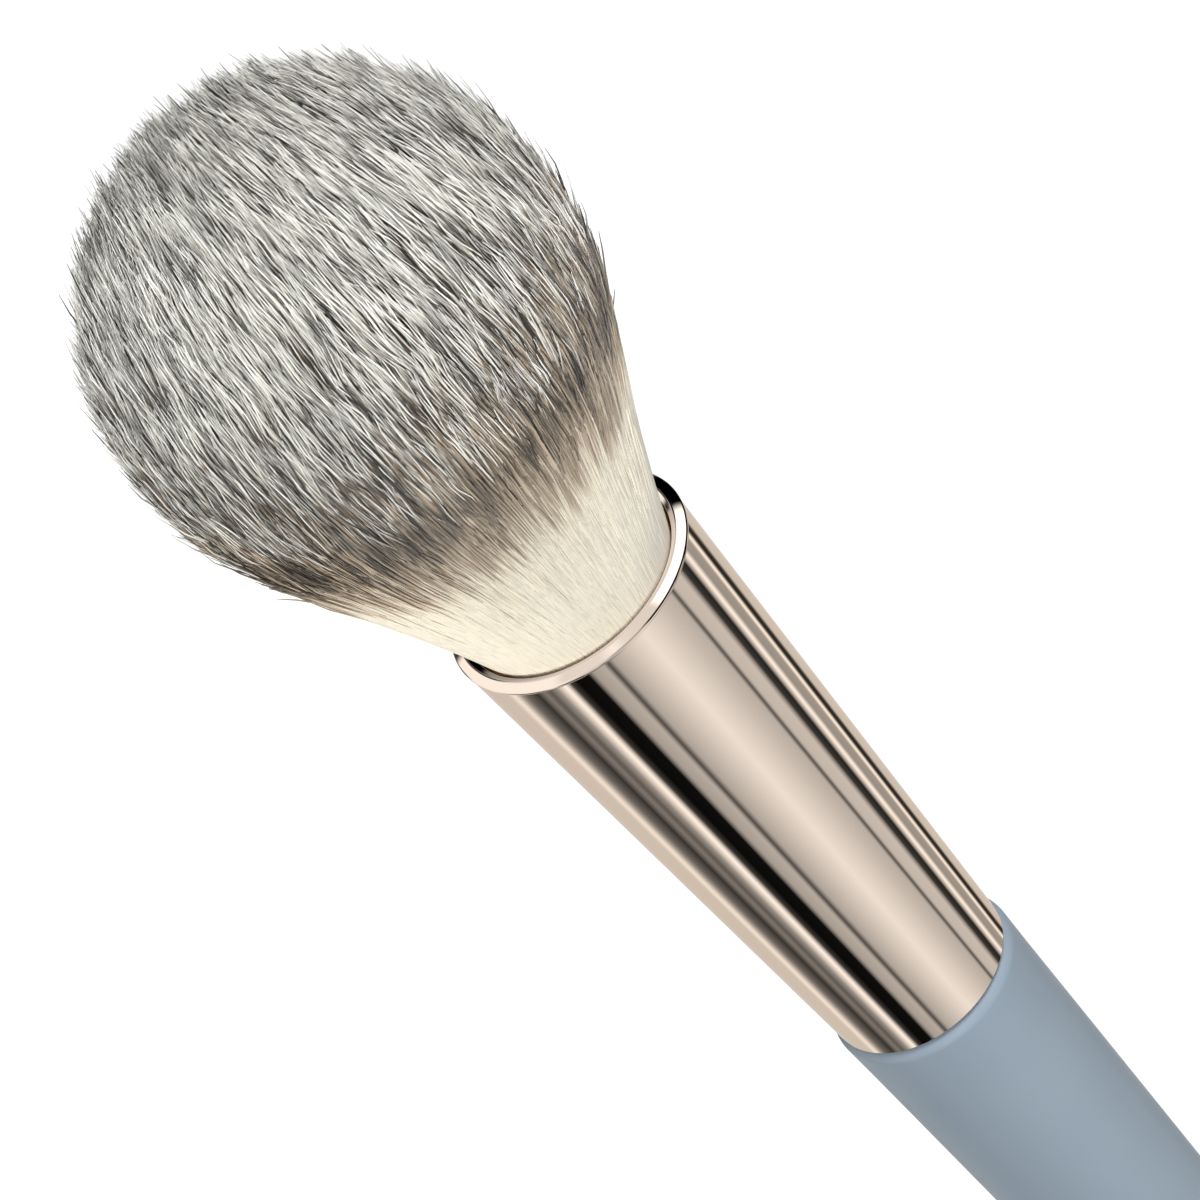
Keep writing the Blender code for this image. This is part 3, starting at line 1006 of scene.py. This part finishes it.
    def build(self) -> list[bpy.types.Object]:
        """Grow every layer and sector, turn the core, and hang them all on the frame."""
        tree = self.tree()
        material = self.finish.material()
        pieces = []
        for layer in Layer:
            for sector in range(self.sectors):
                piece = self.grow(tree, layer, sector, material)
                report(piece, [f"bristle_tuft_{sector + 1}"])
                pieces.append(piece)
        core = turned_piece("bristles_core", self.core_profile(), 96, closed=False)
        core.data.materials.append(self.core_material())
        report(core, [f"bristle_tuft_{i + 1}" for i in range(self.sectors)])
        pieces.append(core)
        for piece in pieces:
            piece.visible_glossy = False
        return pieces


@dataclass(frozen=True)
class Panel:
    """A light panel or black flag beside the brush, as the metal sees it.

    Azimuth is in degrees about the brush's axis, 0 on the camera's side and positive to the
    right of the picture. Level 1 is white.
    """

    azimuth: float
    level: float


@dataclass(frozen=True)
class Softbox:
    """A square softbox turned to the brush, out of the metal's sight.

    Its direction from the brush is given by shares up, along the brush and to its right, seen
    from above with the head away.
    """

    name: str
    direction: tuple[float, float, float]
    watts: float
    size: float = 0.6
    distance: float = 1.1


@dataclass
class Studio:
    """Pale floor, soft light, and the camera at the photograph's angle.

    The cone mirrors the plain ring of panels. The corner, the crown and the flat front of the
    lip have rings of their own, which come in with the surface's lean to the head.
    """

    focal_mm: float = 245.5
    sensor_mm: float = 36.0
    mouth_in_view: Vector = Vector((-0.00248, 0.00163, -0.58475))
    axis_in_view: Vector = Vector((-0.5216, 0.5852, 0.6208))
    sky: float = 0.30
    softboxes: tuple[Softbox, ...] = (
        Softbox("softbox_over_brush", (1.0, 0.1, -0.22), 11.0),
        Softbox("softbox_before_head", (0.3, 1.0, 0.5), 13.0),
    )
    target_height: float = 0.02
    floor_size: float = 3.0
    floor_glow: float = 0.92
    floor_share: float = 0.22
    floor_colour: str = "c4c4c2"
    corner_lean: tuple[float, float] = (0.25, 0.38)
    crown_lean: tuple[float, float] = (0.745, 0.79)
    flat_lean: tuple[float, float] = (0.992, 0.997)
    corner_panels: tuple[Panel, ...] = (
        Panel(-156, 0.85), Panel(-150, 0.04), Panel(-141, 0.04), Panel(-134, 1.12),
        Panel(-62, 1.12), Panel(-48, 0.8), Panel(-20, 0.8), Panel(-14, 0.55), Panel(20, 0.5),
        Panel(27, 0.0), Panel(150, 0.0), Panel(156, 0.85),
    )
    crown_panels: tuple[Panel, ...] = (
        Panel(-135, 0.93), Panel(-118, 0.8), Panel(-106, 0.6), Panel(-103, 0.05),
        Panel(-99, 0.05), Panel(-95, 1.15), Panel(-36, 1.15), Panel(-30, 0.88),
        Panel(-12, 0.92), Panel(-5, 1.15), Panel(1, 0.92), Panel(10, 0.86), Panel(20, 0.86),
        Panel(25, 1.85), Panel(72, 1.85), Panel(78, 0.0), Panel(101, 0.0), Panel(106, 0.3),
        Panel(122, 0.45), Panel(135, 0.58), Panel(155, 0.8), Panel(175, 0.93),
    )
    flat_panels: tuple[Panel, ...] = (
        Panel(-120, 0.85), Panel(-106, 0.5), Panel(-100, 0.04), Panel(-70, 0.06),
        Panel(-62, 0.9), Panel(66, 0.9), Panel(72, 0.0), Panel(104, 0.0), Panel(112, 0.4),
        Panel(150, 0.8),
    )
    panels: tuple[Panel, ...] = (
        Panel(-126, 0.745), Panel(-118.6, 1.1), Panel(-110, 0.35), Panel(-105, 0.16),
        Panel(-94, 0.04), Panel(-86.5, 0.25), Panel(-81, 0.12), Panel(-74, 0.36),
        Panel(-65.5, 1.25), Panel(-60, 0.05), Panel(-54, 0.004), Panel(-42, 0.006),
        Panel(-37, 0.45), Panel(-26.5, 0.55), Panel(-22, 0.05), Panel(-17, 0.5),
        Panel(0, 0.745), Panel(18, 1.0), Panel(47, 0.68), Panel(60.5, 0.57),
        Panel(64.2, 0.05), Panel(68, 0.64), Panel(80.5, 0.68), Panel(87, 0.05),
        Panel(94.5, 0.02), Panel(102.5, 1.25), Panel(108, 0.38), Panel(119, 0.42),
        Panel(123.5, 1.3), Panel(128.5, 0.03), Panel(135, 0.04), Panel(141, 0.745),
    )

    def view_rotation(self) -> Matrix:
        """Turn from the camera's axes to the scene's that puts the brush where the photo has it."""
        seen_along = self.axis_in_view.normalized()
        to_camera = -self.mouth_in_view.normalized()
        seen_up = (to_camera - seen_along * to_camera.dot(seen_along)).normalized()
        seen = Matrix((seen_along, seen_up, seen_along.cross(seen_up))).transposed()
        real = Matrix((AXIS.along, AXIS.up, AXIS.right)).transposed()
        return real @ seen.transposed()

    def lens_direction(self) -> Vector:
        """Direction from the ferrule's mouth to the lens."""
        return -(self.view_rotation() @ self.mouth_in_view).normalized()

    def build_camera(self) -> None:
        """Make the camera."""
        data = bpy.data.cameras.new("camera")
        data.lens = self.focal_mm
        data.sensor_width = self.sensor_mm
        data.clip_start = 0.01
        data.clip_end = 20.0
        camera = new_object("camera", data)
        turn = self.view_rotation()
        place = AXIS.mouth - turn @ self.mouth_in_view
        camera.matrix_world = Matrix.Translation(place) @ turn.to_4x4()
        bpy.context.scene.camera = camera

    def build_floor(self) -> None:
        """Lay the pale floor, which keeps the brush's shadow."""
        mesh = bpy.data.meshes.new("floor")
        half = self.floor_size / 2
        corners = [(-half, -half, 0), (half, -half, 0), (half, half, 0), (-half, half, 0)]
        mesh.from_pydata(corners, [], [(0, 1, 2, 3)])
        floor = new_object("floor", mesh)
        material, add, shader = new_material("paper_sweep_white")
        dull = {"Roughness": 0.9, "Specular IOR Level": 0.0}
        feed_named(shader, {"Base Color": linear(self.floor_colour)} | dull)
        rays = add("ShaderNodeLightPath", out="Is Camera Ray")
        glow = add("ShaderNodeEmission", (1, 1, 1, 1), self.floor_glow)
        dim = add("ShaderNodeBsdfDiffuse", (*[self.floor_share] * 3, 1))
        seen = add("ShaderNodeAddShader", glow, dim)
        both = add("ShaderNodeMixShader", rays, shader.outputs[0], seen)
        feed_named(material.node_tree.nodes["Material Output"], {"Surface": both})
        mesh.materials.append(material)
        floor.visible_glossy = False

    def build_world(self) -> None:
        """Set the plain soft surroundings, and the panels that the metal mirrors."""
        world = bpy.data.worlds.new("studio")
        bpy.context.scene.world = world
        world.use_nodes = True
        world.node_tree.nodes.clear()
        add = partial(add_node, world.node_tree)
        direction = add("ShaderNodeTexCoord", out="Generated")
        normal = add(VECTOR_MATH, direction, tuple(self.lens_direction()), operation="ADD")
        normal = add(VECTOR_MATH, normal, operation="NORMALIZE")
        lean = add(VECTOR_MATH, normal, tuple(AXIS.along), operation="DOT_PRODUCT", out="Value")

        def ring_seen(vector: Socket, panels: Iterable[Panel]) -> Socket:
            """Look up a ring of panels by a vector's azimuth about the brush's axis.

            Args:
                vector: What the metal mirrors, or the way its surface faces.
                panels: Panels of the ring.

            Returns:
                The level of the ring there.
            """
            x, y = (
                add(VECTOR_MATH, vector, tuple(side), operation="DOT_PRODUCT", out="Value")
                for side in (AXIS.up, AXIS.right)
            )
            azimuth = add(MATH, y, x, operation="ARCTAN2")
            ring = add(RAMP, add(MAP_RANGE, azimuth, -math.pi, math.pi, 0.0, 1.0))
            fill_ramp(ring, [((panel.azimuth + 180) / 360, panel.level) for panel in panels])
            return ring

        mirrored = ring_seen(direction, self.panels)
        for vector, panels, lean_span in (
            (direction, self.corner_panels, self.corner_lean),
            (normal, self.crown_panels, self.crown_lean),
            (normal, self.flat_panels, self.flat_lean),
        ):
            inside = add(MAP_RANGE, lean, *lean_span, 0.0, 1.0)
            mirrored = add(MIX, inside, mirrored, ring_seen(vector, panels), data_type="RGBA")
        straight = add("ShaderNodeLightPath", out="Is Camera Ray")
        glossy = straight.node.outputs["Is Glossy Ray"]
        clear = straight.node.outputs["Is Transmission Ray"]
        straight = add(MATH, straight, clear, operation="MAXIMUM")
        soft, seen, white = (
            add("ShaderNodeBackground", *light)
            for light in (((1, 1, 1, 1), self.sky), (mirrored, 1.0), ((1, 1, 1, 1), 1.0))
        )
        lit = add("ShaderNodeMixShader", glossy, soft, seen)
        add("ShaderNodeOutputWorld", add("ShaderNodeMixShader", straight, lit, white))

    def build_lights(self) -> None:
        """Hang the softboxes."""
        target = AXIS.mouth + AXIS.along * self.target_height
        for box in self.softboxes:
            data = bpy.data.lights.new(box.name, "AREA")
            data.energy = box.watts
            data.shape = "SQUARE"
            data.size = box.size
            lamp = new_object(box.name, data)
            up, along, right = box.direction
            towards = (AXIS.up * up + AXIS.along * along + AXIS.right * right).normalized()
            turn = towards.to_track_quat("Z", "Y").to_matrix().to_4x4()
            lamp.matrix_world = Matrix.Translation(target + towards * box.distance) @ turn
            lamp.visible_glossy = False

    def build(self) -> None:
        """Set up the whole studio."""
        self.build_camera()
        self.build_floor()
        self.build_world()
        self.build_lights()
        bpy.context.scene.view_settings.view_transform = "Standard"


def dress_hidden_solids() -> None:
    """Give the resin and the glue, which keep their solids, their finishes."""
    finishes = {"knot_resin": SettingResin(), "handle_glue": HardenedGlue()}
    for name, finish in finishes.items():
        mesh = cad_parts[name].data
        material = finish.material()
        for slot in range(len(mesh.materials)):
            mesh.materials[slot] = material
        LOG.info("%s: keeps its solid", name)


def main() -> None:
    """Build the studio and the brush."""
    logging.basicConfig(level=logging.INFO, format="%(name)s: %(message)s")
    Studio().build()
    Ferrule().build()
    Handle().build()
    BristleKnot().build()
    dress_hidden_solids()


if __name__ == "__main__":
    main()
